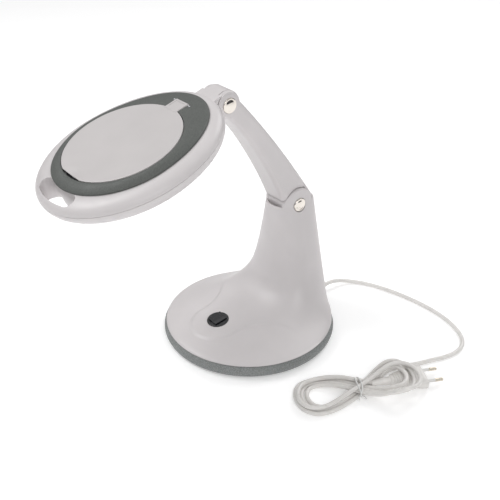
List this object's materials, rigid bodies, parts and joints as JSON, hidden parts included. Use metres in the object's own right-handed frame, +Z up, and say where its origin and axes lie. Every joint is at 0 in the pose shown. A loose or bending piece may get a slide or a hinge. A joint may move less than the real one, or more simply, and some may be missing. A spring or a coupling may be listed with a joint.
{
  "type": "magnifying desk lamp",
  "caption": "Magnifying desk lamp with a weighted round base, a tilting arm and a tilting round head with a lens, a light ring and a lens lid.",
  "frame": {"origin": "centre of the round base on the floor", "axes": "+Z up, the front of the lamp faces -Y, +X to the right seen from behind the lamp; X = 0 is the plane of symmetry and all main hinges are parallel to X"},
  "size_m": [0.3241, 0.4408, 0.3124],
  "materials": {
    "white_plastic": "satin moulded ABS",
    "lid_plastic": "satin moulded ABS",
    "grey_plastic": "fine speckled moulding",
    "dark_grey_plastic": "fine matt texture",
    "black_plastic": "semi-gloss",
    "black_rocker": "gloss",
    "chrome": "polished",
    "black_foam": "closed-cell foam",
    "ballast_steel": "rough",
    "screw_steel": "zinc plated",
    "nylon": "natural nylon",
    "circuit_board": "solder mask",
    "circuit_board_white": "white solder mask",
    "electronics": "mixed components",
    "friction_fibre": "fibre washer",
    "cord_sheath": "soft PVC",
    "tie_plastic": "twist tie",
    "pin_metal": "nickel-plated brass",
    "sleeve_plastic": "pin sleeve",
    "lens_glass": "polished optical",
    "led_lamp": "phosphor",
    "diffuser": "opal"
  },
  "bodies": {
    "base": {"foot_pad": "black_foam", "base_tray": "grey_plastic", "ballast_plate": "ballast_steel", "base_screws": "screw_steel", "base_shell": "white_plastic", "board_standoffs": "nylon", "driver_board": "circuit_board", "driver_components": "electronics", "switch_housing": "black_plastic", "lower_hinge_bolt": "screw_steel", "lower_hinge_caps": "chrome", "lower_hinge_washers": "friction_fibre", "strain_relief": "cord_sheath", "power_cord": "cord_sheath", "cord_hank": "cord_sheath", "hank_tie": "tie_plastic", "plug_body": "cord_sheath", "plug_pins": "pin_metal", "pin_sleeves": "sleeve_plastic"},
    "rocker": {"switch_rocker": "black_rocker"},
    "arm": {"arm_front_shell": "white_plastic", "arm_back_cover": "white_plastic", "upper_hinge_bolt": "screw_steel", "upper_hinge_caps": "chrome", "upper_hinge_washers": "friction_fibre"},
    "head": {"neck": "white_plastic", "head_upper_cover": "white_plastic", "head_lower_housing": "white_plastic", "head_screws": "screw_steel", "trim_ring": "dark_grey_plastic", "lens": "lens_glass", "lens_retaining_ring": "black_plastic", "led_board": "circuit_board_white", "leds": "led_lamp", "diffuser_ring": "diffuser", "lid_hinge_pin": "screw_steel"},
    "lid": {"lid": "lid_plastic"}
  },
  "joints": [
    {"name": "arm_hinge", "type": "hinge", "parent": "base", "child": "arm", "pos_m": [0, 0.0575, 0.1575], "axis": [1, 0, 0], "range_deg": [-44, 20]},
    {"name": "head_hinge", "type": "hinge", "parent": "arm", "child": "head", "pos_m": [0, -0.03689, 0.29744], "axis": [1, 0, 0], "range_deg": [-75, 15]},
    {"name": "lid_hinge", "type": "hinge", "parent": "head", "child": "lid", "pos_m": [0, -0.08279, 0.30596], "axis": [-1, 0, 0], "range_deg": [0, 100]},
    {"name": "switch_tip", "type": "hinge", "parent": "base", "child": "rocker", "pos_m": [0, -0.0465, 0.0284], "axis": [0, -0.9903, -0.1392], "range_deg": [0, 18]}
  ]
}
